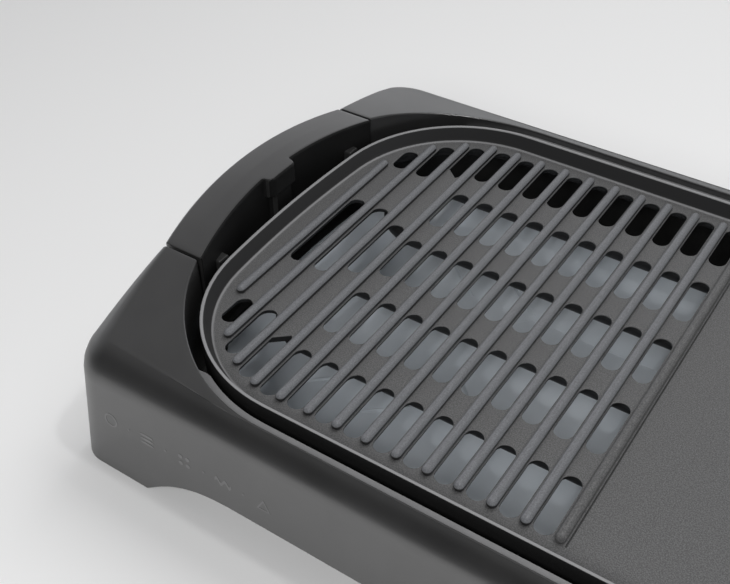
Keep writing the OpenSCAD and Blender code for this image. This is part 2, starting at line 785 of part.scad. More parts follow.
module thermostat_body() color(ceramic) place()
    box(control_x - 12, control_x + 12, thermo_y0, thermo_y0 + thermo_len, control_z0 + control_wall, thermo_z);

module bimetal_blade() color(brass) place()
    box(control_x - 9, control_x - 4, thermo_y0 + 3, thermo_y0 + thermo_len - 8, thermo_z, thermo_z + 0.8);

module contact_spring() color(steel) place()
    box(control_x + 4, control_x + 9, thermo_y0 + 3, thermo_y0 + thermo_len - 8, thermo_z, thermo_z + 0.6);

module adjusting_screw() color(brass) place()
    translate([control_x, dial_y, thermo_z]) cylinder(d = shaft_d + 2, h = 3);

module indicator_lamp() color(amber) place()
    translate([control_x, lens_y, rod_z + 8]) cylinder(d = 5, h = lens_z - rod_z - 8);

module indicator_lens() color(amber) place()
    translate([control_x, lens_y, 0]) {
        translate([0, 0, lens_z]) cylinder(d = lens_d + 3, h = 1);
        translate([0, 0, lens_z + 1]) cylinder(d = lens_d, h = control_wall + 0.6);
        intersection() {
            translate([0, 0, control_z1 + 0.6 - lens_d]) sphere(r = lens_d + 0.8);
            translate([0, 0, control_z1 + 0.6]) cylinder(d = lens_d, h = 3);
        }
    }

// Bush in the back of the control where the mains lead comes out
module cord_gland() color(black_plastic) place() difference() {
    union() {
        rod_y(control_x, control_y1 - control_wall - 2, control_y1, rod_z, gland_d);
        rod_y(control_x, control_y1, control_y1 + gland_rim, rod_z, gland_d + 4);
    }
    rod_y(control_x, control_y1 - control_wall - 3, control_y1 + gland_rim + 1, rod_z, gland_bore);
}

module control_dial() color(black_plastic) place() difference() {
    translate([control_x, dial_y, dial_z]) union() {
        cylinder(d = dial_d, h = 3);
        cylinder(d = dial_d - 7, h = dial_h);
    }
    for (i = [0:dial_flutes - 1]) translate([control_x, dial_y, dial_z + 3]) rotate([0, 0, i * 360 / dial_flutes])
        translate([dial_d / 2 - 3.5, 0, 0]) cylinder(r = 1.3, h = dial_h);
    translate([control_x, dial_y, dial_z - 1]) cylinder(d = shaft_d, h = dial_h - 2);
}

module dial_shaft() color(steel) place()
    translate([control_x, dial_y, thermo_z + 3 + slip]) cylinder(d = shaft_d, h = dial_z + dial_h - 3 - thermo_z - 3 - slip);

module dial_pointer() color("#dcdcdc") place()
    box(control_x - 0.9, control_x + 0.9, dial_y - dial_d / 2 + 5, dial_y - 4, dial_z + dial_h, dial_z + dial_h + 0.5);

frame_cover();
base_pan();
left_handle();
right_handle();
handle_screws();
base_screws();
rubber_feet();
drip_tray();
grill_plate();
heating_element();
terminal_pins();
pin_insulators();
terminal_guard();
guard_rivets();
earth_pin();
control_lower_shell();
control_upper_shell();
control_screws();
socket_block();
socket_contacts();
earth_contact();
probe_rod();
thermostat_body();
bimetal_blade();
contact_spring();
adjusting_screw();
indicator_lamp();
indicator_lens();
cord_gland();
control_dial();
dial_shaft();
dial_pointer();
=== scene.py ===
"""Looks of the table-top grill: camera, light, materials and the modelled pieces."""
import math

import bmesh
import bpy
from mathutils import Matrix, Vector


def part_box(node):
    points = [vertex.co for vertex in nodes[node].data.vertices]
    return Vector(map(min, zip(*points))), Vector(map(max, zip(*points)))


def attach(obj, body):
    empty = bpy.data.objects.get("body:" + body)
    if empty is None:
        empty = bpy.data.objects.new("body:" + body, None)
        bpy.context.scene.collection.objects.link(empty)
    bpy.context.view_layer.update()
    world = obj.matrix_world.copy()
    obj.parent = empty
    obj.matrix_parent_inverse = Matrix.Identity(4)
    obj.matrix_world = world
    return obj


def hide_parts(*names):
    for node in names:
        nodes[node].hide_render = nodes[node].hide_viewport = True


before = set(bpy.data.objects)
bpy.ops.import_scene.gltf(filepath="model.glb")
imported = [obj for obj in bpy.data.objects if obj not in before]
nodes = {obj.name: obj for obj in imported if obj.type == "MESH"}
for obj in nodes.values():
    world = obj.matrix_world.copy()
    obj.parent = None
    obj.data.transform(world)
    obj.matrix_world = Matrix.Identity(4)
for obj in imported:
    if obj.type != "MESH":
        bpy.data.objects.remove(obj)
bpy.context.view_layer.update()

# Millimetres about the middle of the housing, as in the part's own source
MM = 0.001
housing_y = (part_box("base_pan")[0][1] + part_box("base_pan")[1][1]) / 2

# Plate: plan, deck, rim, ribs and slots
plate_end, plate_side = 225, 131.5
corner_r, bow_r = 80, 700
corner_y = plate_side - corner_r
bow_x = plate_end - bow_r
corner_x = bow_x + math.sqrt((bow_r - corner_r) ** 2 - corner_y**2)
deck, rim_top, skirt, rim_lean = 67, 75.5, 56, 3.5
rib_pitch, rib_count, rib_r, rib_gap = 16, 14, 2.6, 7
rib_z = deck + 1.4
slot_w, slot_half, slot_shift, slot_edge = 9.5, 17.5, 0.5, 6.5

# Housing: opening, drafted foot, arched top, walls, lower edge, ledge, seams and notch
end_gap, side_gap = 7, 10.5
foot_x, foot_y, foot_r, flare, end_flare = 253.5, 159, 16, 8, 5.5
crown, edge_h = 95, 70.5
edge_y = foot_y - flare * edge_h / crown
arch_r = (edge_y**2 + (crown - edge_h) ** 2) / (2 * (crown - edge_h))
wall, base_top = 2.8, 22.6
foot_lift, foot_arch, foot_end, foot_run, foot_power = 1, 22, 205, 60, 2.6
ledge_end, ledge_w, ledge_top = 188, 5, 70
bead = 0.22
seam_y, seam = 80, 1.7
notch_half, notch_z = 30.5, 43.6
# Radius of the shoulder: at a seam, at the corner, its easing round it, and in the middle of the front
seam_round, corner_round, corner_ease, front_round = 2, 13, 0.5, 9.5
# Cutters end here, past the housing's end, back and top
past_end, past_back, past_top = 270, 180, 110

# Handles: the ring they are cut from, the tab, its post, the guides and the height of the lower edge
grip_x, grip_r, grip_w, grip_h = 259 - 296.4, 296.4, 24, 62
tab_flat, tab_round, tab_toe, tab_deep = 7.5, 4, 1.5, 11.5
post_out, post_flat, post_round, post_foot = 4.5, 6, 1.6, 45
guide_y, guide_in, guide_out = 61, 224.2, 231

# Heating rod
rod_z, row_pitch, run_in, run_out = 61.1, 51.5, 25.75, 77.25
bend_r, bend_x, near_x, far_x = 25, 160, 135, 195
ridge_r, ridge_z = 5.2, 60.4

# Drip tray
tray_gap, tray_end_gap, tray_slope, tray_end_slope, tray_floor = 15, 7, 16, 24, 25
tray_rim, tray_lip = 41.5, 5.2

# Temperature control, which sits on the middle of the terminals
control_x, control_w, control_y0, control_y1 = 90, 58, 142, 218
control_z0, control_h, control_wall, control_round = 45.1, 33, 2, 7
dial_y, lens_y, pin_reach, dial_strokes, dial_flutes = 194, 154, 10, 10, 24

# Printed row: height, pitch and first place
print_z, print_pitch, print_from = 38, 24, -224


def arch_z(y):
    """Height of the arched top at a place y."""
    return crown - arch_r + math.sqrt(arch_r**2 - y * y)


def in_place(x, y, z):
    """A point in metres of the shared frame."""
    return Vector((x * MM, y * MM + housing_y, z * MM))


def arc(cx, cy, r, degrees):
    """Points of an arc at the given angles."""
    return [(cx + r * math.cos(math.radians(a)), cy + r * math.sin(math.radians(a))) for a in degrees]


def rounding(r, degrees):
    """How far a rounded edge stands in from its side and down from its top, at the given angles."""
    return [(r * (1 - math.cos(math.radians(a))), r * (1 - math.sin(math.radians(a)))) for a in degrees]


def sides_of(points, i):
    """Unit normal of a level line at its point i."""
    (xa, ya), (xb, yb) = points[max(0, i - 1)], points[min(len(points) - 1, i + 1)]
    long = math.hypot(xb - xa, yb - ya)
    return (yb - ya) / long, (xa - xb) / long


# Mesh tools

def only(piece):
    """Selects one piece and makes it active."""
    bpy.ops.object.select_all(action="DESELECT")
    piece.select_set(True)
    bpy.context.view_layer.objects.active = piece


def loft(name, rings, closing="caps"):
    """Starts from a ring of wire, extrudes it again and again and puts each new ring in its place.
    closing: caps fills the first and last ring, loop joins them, open leaves them."""
    count = len(rings[0])
    bpy.ops.object.select_all(action="DESELECT")
    bpy.ops.mesh.primitive_circle_add(vertices=count)
    piece = bpy.context.object
    piece.name = piece.data.name = name
    bpy.ops.object.mode_set(mode="EDIT")
    bpy.ops.mesh.select_all(action="SELECT")
    order = list(range(count))
    stops = rings + rings[:1] if closing == "loop" else rings
    first = order
    for step, ring in enumerate(stops):
        if step:
            bpy.ops.mesh.extrude_region_move()
        shape = bmesh.from_edit_mesh(piece.data)
        shape.verts.ensure_lookup_table()
        if step:
            order = [
                next(e.other_vert(shape.verts[v]).index for e in shape.verts[v].link_edges
                     if e.other_vert(shape.verts[v]).select)
                for v in order
            ]
        for v, point in zip(order, ring):
            shape.verts[v].co = in_place(*point)
        bmesh.update_edit_mesh(piece.data)
    if closing == "caps":
        for loop in (first, order):
            bpy.ops.mesh.select_all(action="DESELECT")
            shape = bmesh.from_edit_mesh(piece.data)
            shape.verts.ensure_lookup_table()
            for v in loop:
                shape.verts[v].select_set(True)
            shape.select_flush(True)
            bmesh.update_edit_mesh(piece.data)
            bpy.ops.mesh.edge_face_add()
    bpy.ops.mesh.select_all(action="SELECT")
    bpy.ops.mesh.remove_doubles(threshold=0.01 * MM)
    bpy.ops.mesh.normals_make_consistent(inside=False)
    bpy.ops.object.mode_set(mode="OBJECT")
    return piece


def block(name, x0, x1, y0, y1, z0, z1, edge=0.0, segments=3):
    """A box between two corners, its edges rounded."""
    bpy.ops.object.select_all(action="DESELECT")
    bpy.ops.mesh.primitive_cube_add(size=1, location=in_place((x0 + x1) / 2, (y0 + y1) / 2, (z0 + z1) / 2))
    piece = bpy.context.object
    piece.name = piece.data.name = name
    piece.scale = ((x1 - x0) * MM, (y1 - y0) * MM, (z1 - z0) * MM)
    bpy.ops.object.transform_apply(location=True, rotation=True, scale=True)
    if edge:
        bevel(piece, edge, segments)
    return piece


def bevel(piece, width, segments=3, angle=30):
    """Rounds every edge that turns by more than an angle."""
    rounded = piece.modifiers.new("rounding", "BEVEL")
    rounded.width, rounded.segments = width * MM, segments
    rounded.limit_method, rounded.angle_limit = "ANGLE", math.radians(angle)
    only(piece)
    bpy.ops.object.modifier_apply(modifier=rounded.name)


def carve(piece, tool, how="DIFFERENCE"):
    """Cuts a tool out of a piece, or adds it, and removes the tool."""
    cut = piece.modifiers.new("cut", "BOOLEAN")
    cut.operation, cut.object, cut.solver = how, tool, "EXACT"
    only(piece)
    bpy.ops.object.modifier_apply(modifier=cut.name)
    bpy.data.objects.remove(tool)


def bevel_edges(piece, chosen, width, segments=2):
    """Rounds the edges for which chosen(middle, first, second) in millimetres is true."""
    only(piece)
    bpy.ops.object.mode_set(mode="EDIT")
    bpy.ops.mesh.select_mode(type="EDGE")
    bpy.ops.mesh.select_all(action="DESELECT")
    shape = bmesh.from_edit_mesh(piece.data)
    for edge in shape.edges:
        a, b = [((v.co - in_place(0, 0, 0)) / MM) for v in edge.verts]
        if len(edge.link_faces) == 2 and edge.calc_face_angle() > 0.5 and chosen((a + b) / 2, a, b):
            edge.select_set(True)
    bmesh.update_edit_mesh(piece.data)
    bpy.ops.mesh.bevel(offset=width * MM, segments=segments, affect="EDGES", clamp_overlap=True)
    bpy.ops.object.mode_set(mode="OBJECT")


def join(name, pieces):
    """One piece of several."""
    only(pieces[0])
    for piece in pieces:
        piece.select_set(True)
    if len(pieces) > 1:
        bpy.ops.object.join()
    pieces[0].name = pieces[0].data.name = name
    return pieces[0]


def smooth(piece, angle=32):
    """Smooth shading below an angle, with the large flat faces kept flat."""
    only(piece)
    bpy.ops.object.shade_smooth_by_angle(angle=math.radians(angle))
    flat = piece.modifiers.new("flat_faces", "WEIGHTED_NORMAL")
    flat.keep_sharp, flat.weight = True, 90
    bpy.ops.object.modifier_apply(modifier=flat.name)


def paint(piece, material, chosen):
    """A second material on the faces for which chosen(middle in millimetres, normal) is true, used here to
    paint shade.
    """
    piece.data.materials.append(material)
    for face in piece.data.polygons:
        if chosen((face.center - in_place(0, 0, 0)) / MM, face.normal):
            face.material_index = len(piece.data.materials) - 1


def finish(piece, body, material, stands_for=(), angle=32):
    """Shading, finish, body and the nodes that a piece stands for."""
    smooth(piece, angle)
    piece.data.materials.clear()
    piece.data.materials.append(material)
    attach(piece, body)
    if stands_for:
        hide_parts(*stands_for)


# Outlines

def around(quarter):
    """The whole outline from its quarter between +X and +Y, both ends of the quarter on an axis."""
    back = [(-x, y) for x, y in reversed(quarter[:-1])]
    front = [(-x, -y) for x, y in quarter[1:]]
    rest = [(x, -y) for x, y in reversed(quarter[1:-1])]
    return quarter + back + front + rest


def plan_point(x, y, gx, gy):
    """The point of the plate's plan, grown by gx and gy, that faces a point outside it."""
    cx, r = corner_x + gx - gy, corner_r + gy
    if x <= cx:
        return x, corner_y + r
    if y > corner_y:
        y = corner_y + r * math.sin(math.atan2(y - corner_y, x - cx))
    turn = math.asin(corner_y / (bow_r - corner_r))
    if y < corner_y + r * math.sin(turn):
        return bow_x + gx - gy + math.sqrt((bow_r + gy) ** 2 - y * y), y
    return cx + math.sqrt(max(0, r * r - (y - corner_y) ** 2)), y


END_STEPS = [i / 14 for i in range(14)]
CORNER_STEPS = [i * 9 for i in range(11)]
SIDE_STEPS = [0.97, 0.94, 0.91, 0.88, 0.86, 0.84, 0.82, 0.8, 0.78, 0.76, 0.74, 0.72, 0.7, 0.67, 0.64,
              0.6, 0.55, 0.5, 0.4, 0.3, 0.2, 0.1, 0.0]


def housing_quarter(inset, z):
    """Quarter of the housing's outline at a height, drawn in by an inset."""
    hx, hy = foot_x - end_flare * z / crown - inset, foot_y - flare * z / crown - inset
    r = foot_r + 4 * z / crown - inset
    return (
        [(hx, t * (hy - r)) for t in END_STEPS]
        + arc(hx - r, hy - r, r, CORNER_STEPS)
        + [(t * (hx - r), hy) for t in SIDE_STEPS]
    )


# Housing

def housing_rings():
    """Cross-sections of the housing, from the foot of the inner wall over the top to the outer foot."""
    outer = housing_quarter(0, 0)
    corner_from, corner_to = len(END_STEPS), len(END_STEPS) + len(CORNER_STEPS) - 1

    def soft(i):
        """Radius of the shoulder at the front: it grows from the seam to the corner and eases off again."""
        if i < corner_from:
            along = max(0, (outer[i][1] - seam_y) / (outer[corner_from][1] - seam_y))
            return seam_round + (corner_round - seam_round) * along ** 1.2
        if i <= corner_to:
            return corner_round - corner_ease * (i - corner_from) / (corner_to - corner_from)
        ease_from, ease_run = 160, 77
        more = corner_round - corner_ease - front_round
        return front_round + more * max(0, (outer[i][0] - ease_from) / ease_run)

    def tight(i):
        """Radius of the shoulder at the back."""
        return 2.5 if i < corner_from else 3.5

    def foot(i):
        """Height of the lower edge: low at the feet and arched between them."""
        if i < corner_to:
            return foot_lift
        run = min(1, max(0, (foot_end - outer[i][0]) / foot_run))
        return max(foot_lift, foot_arch * (1 - (1 - run) ** foot_power))

    def wall_point(i, z, inset=0.0):
        """A point of the outer wall at a height."""
        return (*housing_quarter(inset, z)[i], z)

    def ring(point, front_point=None):
        """The back half from point and the front half from front_point, for each place of the quarter."""
        back = [point(i) for i in range(len(outer))]
        front = [(front_point or point)(i) for i in range(len(outer))]
        return (
            back + [(-x, y, z) for x, y, z in reversed(back[:-1])]
            + [(-x, -y, z) for x, y, z in front[1:]] + [(x, -y, z) for x, y, z in reversed(front[1:-1])]
        )

    def opening(grow, z=None, drop=0.0):
        """A ring round the opening, at a height or a little below the arched top."""
        def point(i):
            x, y = plan_point(*outer[i], end_gap + grow, side_gap + grow)
            return x, y, (arch_z(y) - drop if z is None else z)
        return ring(point)

    def shoulder(angle):
        """A ring on the rounded edge between the top, at 90 degrees, and the outer wall, at 0."""
        def point(i, radius):
            r = radius(i)
            d = r * (1 - math.cos(math.radians(angle)))
            z = edge_h
            for _ in range(4):
                x, y = housing_quarter(d, z)[i]
                z = arch_z(y) - r * (1 - math.sin(math.radians(angle)))
            return x, y, z
        return ring(lambda i: point(i, tight), lambda i: point(i, soft))

    edge, mid_wall, bead_from, bead_run = 1.2, 60, 135, 8
    rings = [opening(0, base_top), opening(0, 50)]
    rings += [opening(aside, None, down) for aside, down in rounding(edge, (0, 30, 60, 90))]
    start, end = rings[-1], shoulder(90)

    def between(t, lift=0.0):
        """A line over the sloping top, part of the way from the opening to the shoulder."""
        flat = [(a[0] + (b[0] - a[0]) * t, a[1] + (b[1] - a[1]) * t) for a, b in zip(start, end)]
        return [(x, y, arch_z(y) + lift * min(1, max(0, (abs(y) - bead_from) / bead_run))) for x, y in flat]

    rings += [between(t) for t in (0.2, 0.4, 0.6, 0.8)]
    # A fine bead runs along the front and the back, where the shoulder begins
    rings += [between(0.9), between(0.955, bead), shoulder(90)]
    rings += [shoulder(a) for a in (75, 60, 45, 30, 15, 0)]
    for t in (0.33, 0.66):
        rings.append(ring(lambda i: wall_point(i, mid_wall - (mid_wall - foot(i)) * t)))
    rings.append(ring(lambda i: wall_point(i, foot(i) + 0.6)))
    rings.append(ring(lambda i: wall_point(i, foot(i), 0.6)))
    rings.append(ring(lambda i: wall_point(i, foot(i), wall)))
    rings.append(ring(lambda i: wall_point(i, base_top, wall)))
    return rings


def notch_tool():
    """Cutter for the notch in the back wall that the control passes through."""
    inside = 120
    left, right = control_x - notch_half, control_x + notch_half
    return block("notch", left, right, inside, past_back, notch_z, past_top)


def make_housing(material):
    near, edge = 0.05, 0.7
    pocket_in, pocket_z = 212, 24.5
    shelf_y, shelf_in, shelf_out, shelf_t = 60, 229, 249, 3

    def beside_handle(m, a, b):
        return abs(abs(m.y) - seam_y) < near and abs(a.y - b.y) < near and m.z > 40

    def beside_control(m, a, b):
        return abs(abs(m.x - control_x) - notch_half) < near and m.z > 50

    housing = loft("housing", housing_rings(), "loop")
    for side in (-1, 1):
        x0, x1 = sorted((side * pocket_in, side * past_end))
        carve(housing, block("pocket", x0, x1, -seam_y, seam_y, pocket_z, past_top))
    carve(housing, notch_tool())
    bevel_edges(housing, beside_handle, edge)
    bevel_edges(housing, beside_control, edge)
    # Curved walls behind the handles, and the shelves that the handles stand on
    inner_r = grip_r - grip_w
    reach, steps = seam_y + 0.5, 24
    for side in (-1, 1):
        rings = []
        for i in range(steps + 1):
            y = -reach + 2 * reach * i / steps
            x0 = grip_x + math.sqrt((inner_r + 3) ** 2 - y * y)
            x1 = grip_x + math.sqrt((inner_r + 5.5) ** 2 - y * y)
            low, top = 24, arch_z(y) - 5
            rings.append([(side * x, y, z) for x, z in ((x0, low), (x1, low), (x1, top), (x0, top))])
        carve(housing, loft("end_wall", rings), "UNION")
        for end in (-1, 1):
            y0, y1 = sorted((end * shelf_y, end * reach))
            x0, x1 = sorted((side * shelf_in, side * shelf_out))
            shelf = block("shelf", x0, x1, y0, y1, grip_h - shelf_t, grip_h, 0.5, 2)
            carve(housing, shelf, "UNION")
    finish(housing, "housing", material, ["frame_cover"])


def make_ledges(material):
    """The lighter strip just inside the opening, at the front and the back."""
    strips = []
    for side in (-1, 1):
        rings = []
        for degrees in range(-90, 91, 3):
            x = ledge_end * math.sin(math.radians(degrees))
            over = max(0, abs(x) - corner_x + side_gap - end_gap)
            taper = min(1, (ledge_end - abs(x)) / 9 + 0.12)
            radii = [corner_r + side_gap + grow for grow in (1, -ledge_w * taper)]
            ya, yb = [side * (corner_y + math.sqrt(r * r - over * over)) for r in radii]
            low, inner = ledge_top - 2, ledge_top - 0.1
            rings.append([(x, ya, low), (x, yb, low), (x, yb, inner), (x, ya, ledge_top)])
        strips.append(loft("opening_ledge", rings))
    ledge = join("opening_ledge", strips)
    carve(ledge, notch_tool())
    finish(ledge, "housing", material)


# Handles

def tab(y):
    """How far the tab in the middle of a handle stands in from its inner wall."""
    y = abs(y)
    half = tab_flat + tab_round
    if y <= tab_flat:
        return tab_toe + tab_round
    if y <= half:
        return tab_toe + tab_round * math.sqrt(1 - ((y - tab_flat) / tab_round) ** 2)
    if y < half + tab_toe:
        return max(0, tab_toe - tab_toe * math.sqrt(1 - max(0, (half + tab_toe - y) / tab_toe) ** 2))
    return 0


def post(y):
    """How far the post under the tab stands in."""
    y = abs(y)
    if y < post_flat:
        return post_out
    if y < post_flat + post_round:
        return post_out * math.sqrt(max(0, 1 - ((y - post_flat) / post_round) ** 2))
    return 0


def handle_steps(end):
    """Places of a handle's cross-sections: even, and close together along the tab's rounded ends."""
    even = [i * 2.5 for i in range(32)]
    steps = [y for y in even if y < 6 or 16 < y < end - 1]
    steps += [6.5, 7.5, 8.8, 9.8, 10.6, 11.2, 11.5, 11.6, 11.9, 12.4, 13, 14, 15, end - 0.6, end]
    steps.sort()
    return [-y for y in reversed(steps) if y > 0] + steps


def make_handle(name, side, node, material, shaded_material):
    end = seam_y - seam
    skin, hollow, edge = 2.5, 6, 1.6
    rings = []
    for y in handle_steps(end):
        pull = 0.6 if abs(y) > end - 0.3 else 0
        xi = grip_x + math.sqrt((grip_r - grip_w) ** 2 - y * y)
        xo = grip_x + math.sqrt(grip_r**2 - y * y)
        crease = 0.5 * (1 - (y / end) ** 2)
        top = arch_z(y)
        mid = (xi + xo) / 2 - 1

        def surface(x):
            """Height of the handle's top, with a slight crease along its middle."""
            over = max(0, (x - mid) / (xo - mid))
            return top - crease * over - pull * 0.7
        back, face = xi - post(y) + pull, xi - tab(y) + pull
        profile = [(back, post_foot), (back, top - tab_deep - 1.5)]
        profile += [(face + min(1.2, tab(y) / 4), top - tab_deep - 0.9), (face, top - tab_deep)]
        for aside, down in rounding(edge, (0, 22, 45, 67, 90)):
            profile.append((face + aside, surface(face + aside) - down))
        profile += [(x, surface(x)) for x in (xi + 2.5, xi + 5, mid - 1, mid, mid + 1, mid + 5)]
        for aside, down in rounding(edge, (90, 60, 30, 0)):
            x = xo - pull - aside
            profile.append((x, surface(x) - down))
        profile += [(xo - pull + 0.3, grip_h + 1), (xo - pull - 0.5, grip_h)]
        profile += [(xo - skin, grip_h), (xo - skin, top - hollow)]
        profile += [(xi + skin, top - hollow), (xi + skin, post_foot)]
        rings.append([(side * x, y, z) for x, z in profile])
    grip = loft(name, rings)
    guides = []
    for end_side in (-1, 1):
        y = end_side * guide_y
        x0, x1 = sorted((side * guide_in, side * guide_out))
        guides.append(block("guide", x0, x1, y - 4, y + 4, rim_top - 6, rim_top + 1, 1.2))
    for guide in guides:
        carve(grip, guide, "UNION")
    finish(grip, "housing", material, [node])
    # The inner wall of the handle, below its top, takes a darker and duller plastic: painted shade
    paint(grip, shaded_material, lambda m, n: n.x * side < -0.5 and m.z > 47)


# Plate

def plan_ring(grow, z):
    """The plate's plan at a height, grown all round."""
    quarter = [plan_point(x, y, grow, grow) for x, y in housing_quarter(0, 0)]
    return [(x, y, z) for x, y in around(quarter)]


def bar_cutter(x, y0, y1, slant=0):
    """A tool with round ends for one slot of the plate: a thin lip, and wider below it.
    The inner end is cut on the slant if asked."""
    def outline(grow, z):
        r = slot_w / 2
        high = arc(x, y1 - r, r + grow, range(0, 181, 15))
        low = arc(x, y0 + r, r + grow, range(180, 361, 15))
        return [(px, py, z) for px, py in high + low]
    tool = loft("slot", [outline(1.7, 60), outline(1.3, 65), outline(0, 65.6), outline(0, 70)])
    if slant:
        side = 1 if slant > 0 else -1
        far = y0 if slant > 0 else y1
        aside = 7
        wedge = [(x - aside, far - side * 3), (x + aside, far - side * 3), (x - aside, far + slant * 1.5)]
        carve(tool, loft("wedge", [[(px, py, z) for px, py in wedge] for z in (59, 71)]))
    return tool


def outline_y(x, inset):
    """Half depth of the plate's plan at a place x, drawn in by an inset."""
    over = max(0, abs(x) - corner_x)
    return corner_y + math.sqrt(max(0, (corner_r - inset) ** 2 - over * over))


def rib_x(k):
    return (k - rib_count) * rib_pitch


def rib_half(k):
    return min(outline_y(rib_x(k), rim_lean + 5 + 3.5 / k), plate_side - rim_lean - rib_gap)


def slot_x(k):
    return rib_x(k + 0.5) - slot_shift


def slot_tools():
    """Cutters for the rows of equal slots and for the three columns beside the bowed end."""
    tools = []
    for k in range(4, rib_count):
        for row in range(-2, 3):
            middle = row * row_pitch
            tools.append(bar_cutter(slot_x(k), middle - slot_half, middle + slot_half))
    for k in (1, 2, 3):
        x = slot_x(k)
        outer = outline_y(x, rim_lean + slot_edge)
        half, inner, slant = (run_in - 1.75, run_out + 3, 6) if k == 3 else (run_in + 6.75, run_out - 6, 0)
        tools.append(bar_cutter(x, -half, half))
        tools.append(bar_cutter(x, inner, outer, slant))
        tools.append(bar_cutter(x, -outer, -inner, -slant))
    return tools


def capsule(name, x, half, z, r):
    """A round bar along Y: a ball cut at its middle, its halves drawn apart."""
    bpy.ops.object.select_all(action="DESELECT")
    bpy.ops.mesh.primitive_uv_sphere_add(
        segments=20, ring_count=14, radius=r * MM, rotation=(math.pi / 2, 0, 0))
    bar = bpy.context.object
    bar.name = name
    bpy.ops.object.transform_apply(location=True, rotation=True, scale=True)
    reach = (half - r) * MM
    for vertex in bar.data.vertices:
        y = vertex.co.y
        side = 1 if y > 1e-7 else -1
        vertex.co.y = y + side * reach
        vertex.co += in_place(x, 0, z)
    return bar


def rod_line():
    """Middle line of the heating rod as seen from above, in at the left terminal and out at the right one."""
    def bend(cx, cy, r, start, end):
        count = max(6, int(abs(end - start) / 10))
        return arc(cx, cy, r, [start + (end - start) * i / count for i in range(count + 1)])

    left_pin, right_pin, back_end = control_x - pin_reach, control_x + pin_reach, plate_side - 1
    line = [(left_pin, back_end)] + bend(left_pin - bend_r, run_out + bend_r, bend_r, 0, -90)
    line += bend(-bend_x, row_pitch, run_in, 90, 270) + bend(near_x, 0, run_in, 90, -90)
    line += bend(-bend_x, -row_pitch, run_in, 90, 270)
    line += bend(far_x - bend_r, bend_r - run_out, bend_r, -90, 0)
    line += bend(far_x - bend_r, run_out - bend_r, bend_r, 0, 90)
    line += bend(right_pin + bend_r, run_out + bend_r, bend_r, 270, 180) + [(right_pin, back_end)]
    return line


def tube(name, line, z, r, sides=16):
    """A round bar along a level line."""
    rings = []
    for i, (x, y) in enumerate(line):
        nx, ny = sides_of(line, i)
        turns = [2 * math.pi * j / sides for j in range(sides)]
        section = [(r * math.cos(a), r * math.sin(a)) for a in turns]
        rings.append([(x + nx * aside, y + ny * aside, z + up) for aside, up in section])
    return loft(name, rings)


def make_plate(material, rib_material, border_material, skirt_shade_material):
    # Growth of the plan and height: under the deck, round the skirt, over the rim's edge, down to the deck
    profile = (
        (-2.5, deck - 4), (-2.5, skirt + 0.5), (-2, skirt), (1, skirt), (1.5, skirt + 0.5), (1.5, deck - 1),
        (1.5, 74.9), (1.38, 75.3), (1.1, rim_top), (0.4, rim_top), (0, 75.35), (-0.25, 75),
        (-2.9, 69), (-3.2, 68.2), (-3.8, 67.5), (-4.6, 67.1), (-5.6, deck),
    )
    rings = [plan_ring(grow, z) for grow, z in profile]
    plate = loft("grill_plate_casting", rings)
    carve(plate, join("slots", slot_tools()))
    bevel_edges(plate, lambda m, a, b: abs(a.z - deck) < 0.02 and abs(b.z - deck) < 0.02, 0.35, 2)
    # A fine groove parts the flat half from the border rib
    groove = block("groove", 3.1, 3.9, -rib_half(rib_count), rib_half(rib_count), deck - 0.8, deck + 1)
    carve(plate, groove)
    bars = [capsule("rib", rib_x(k), rib_half(k), rib_z, rib_r) for k in range(1, rib_count)]
    ridge = [tube("heater_ridge", rod_line(), ridge_z, ridge_r)]
    left, right = control_x - pin_reach, control_x + pin_reach
    ridge.append(block("terminal_boss", left, right, 82, plate_side, 55.6, deck - 1, 0.6, 2))
    finish(plate, "plate", material, ["grill_plate"], 40)
    # The outside of the skirt, whose faces look away from the plate's middle, takes a near-black copy of the
    # coat: painted shade in the gap round the plate
    paint(plate, skirt_shade_material, lambda m, n: n.z < 0.3 and n.x * m.x + n.y * m.y > 0 and m.z < rim_top - 0.3)
    finish(join("heater_ridge", ridge), "plate", material)
    finish(join("ribs", bars), "plate", rib_material)
    finish(capsule("border_rib", 0, rib_half(rib_count), rib_z, rib_r), "plate", border_material)


# Drip tray

def crease(name, points, width, height):
    """A low rounded rib pressed into the tray's floor, along a line of points."""
    rings = []
    half = width / 2
    for i, (x, y) in enumerate(points):
        nx, ny = sides_of(points, i)
        full = 0.1 if i in (0, len(points) - 1) else 1
        profile = [(-1, -0.4), (-0.6, 0.45 * full), (0, full), (0.6, 0.45 * full), (1, -0.4)]
        rings.append([(x + nx * u * half, y + ny * u * half, tray_floor + v * height) for u, v in profile])
    return loft(name, rings)


